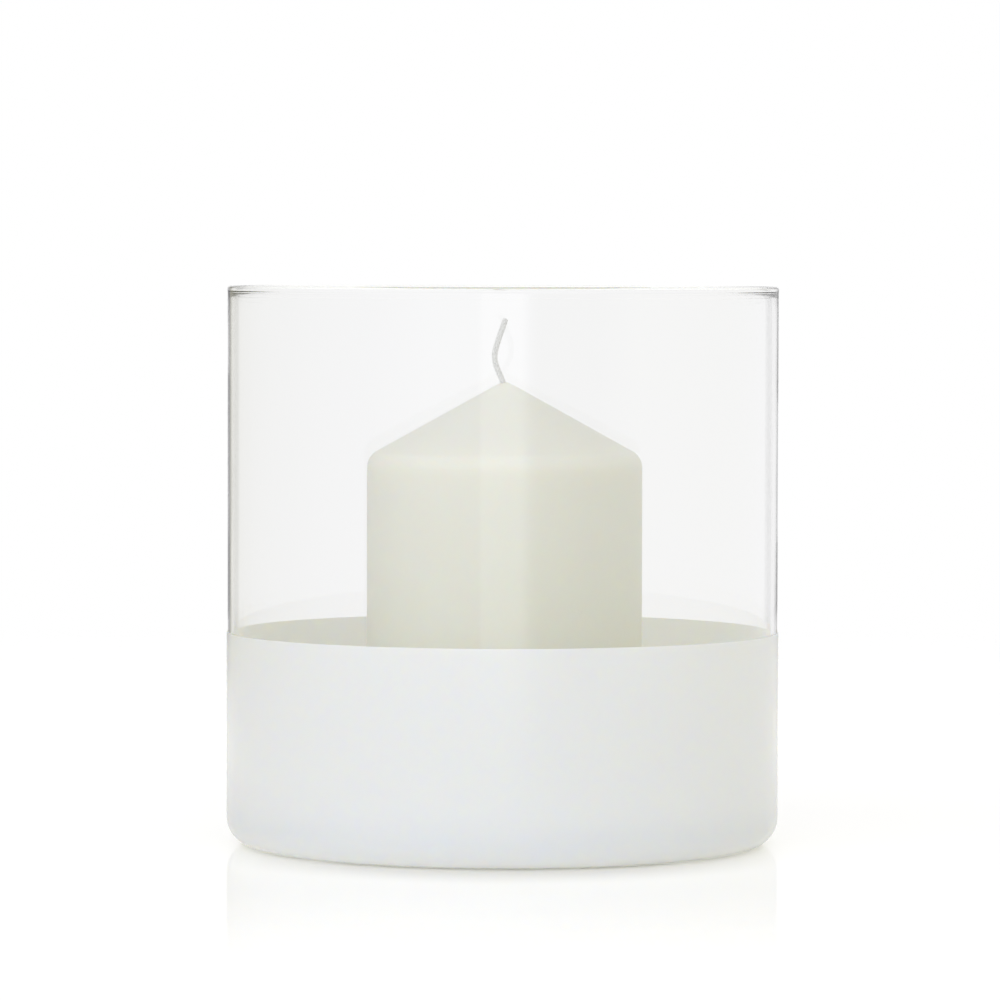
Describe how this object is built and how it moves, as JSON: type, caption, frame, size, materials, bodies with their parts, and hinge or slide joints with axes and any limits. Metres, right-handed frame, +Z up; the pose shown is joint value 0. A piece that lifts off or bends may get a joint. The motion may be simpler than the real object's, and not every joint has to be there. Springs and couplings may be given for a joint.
{
  "type": "hurricane candle lantern",
  "caption": "Straight round glass hurricane vessel, clear above and lacquered white round the foot, holding a cone-topped ivory pillar candle that lifts out.",
  "frame": {"origin": "centre of the glass foot ring, on the table", "axes": "+Z up along the vessel's axis, -Y towards the viewer of the picture, +X to that viewer's right"},
  "size_m": [0.1508, 0.1508, 0.152],
  "materials": {
    "clear_glass": "clear polished soda-lime glass",
    "white_lacquer": "gloss white lacquer coat",
    "ivory_wax": "smooth moulded wax with a satin sheen",
    "cotton_wick": "braided cotton, primed with wax",
    "tinplate": "bright tin-plated sheet steel"
  },
  "bodies": {
    "vessel": {"glass_vessel": "clear_glass", "lacquer_sleeve": "white_lacquer", "lacquer_underside": "white_lacquer"},
    "candle": {"candle_body": "ivory_wax", "wick": "cotton_wick", "wick_tab": "tinplate"}
  },
  "joints": [
    {"name": "candle_lift", "type": "slide", "parent": "vessel", "child": "candle", "axis": [0, 0, 1], "range_m": [0, 0.16]}
  ]
}
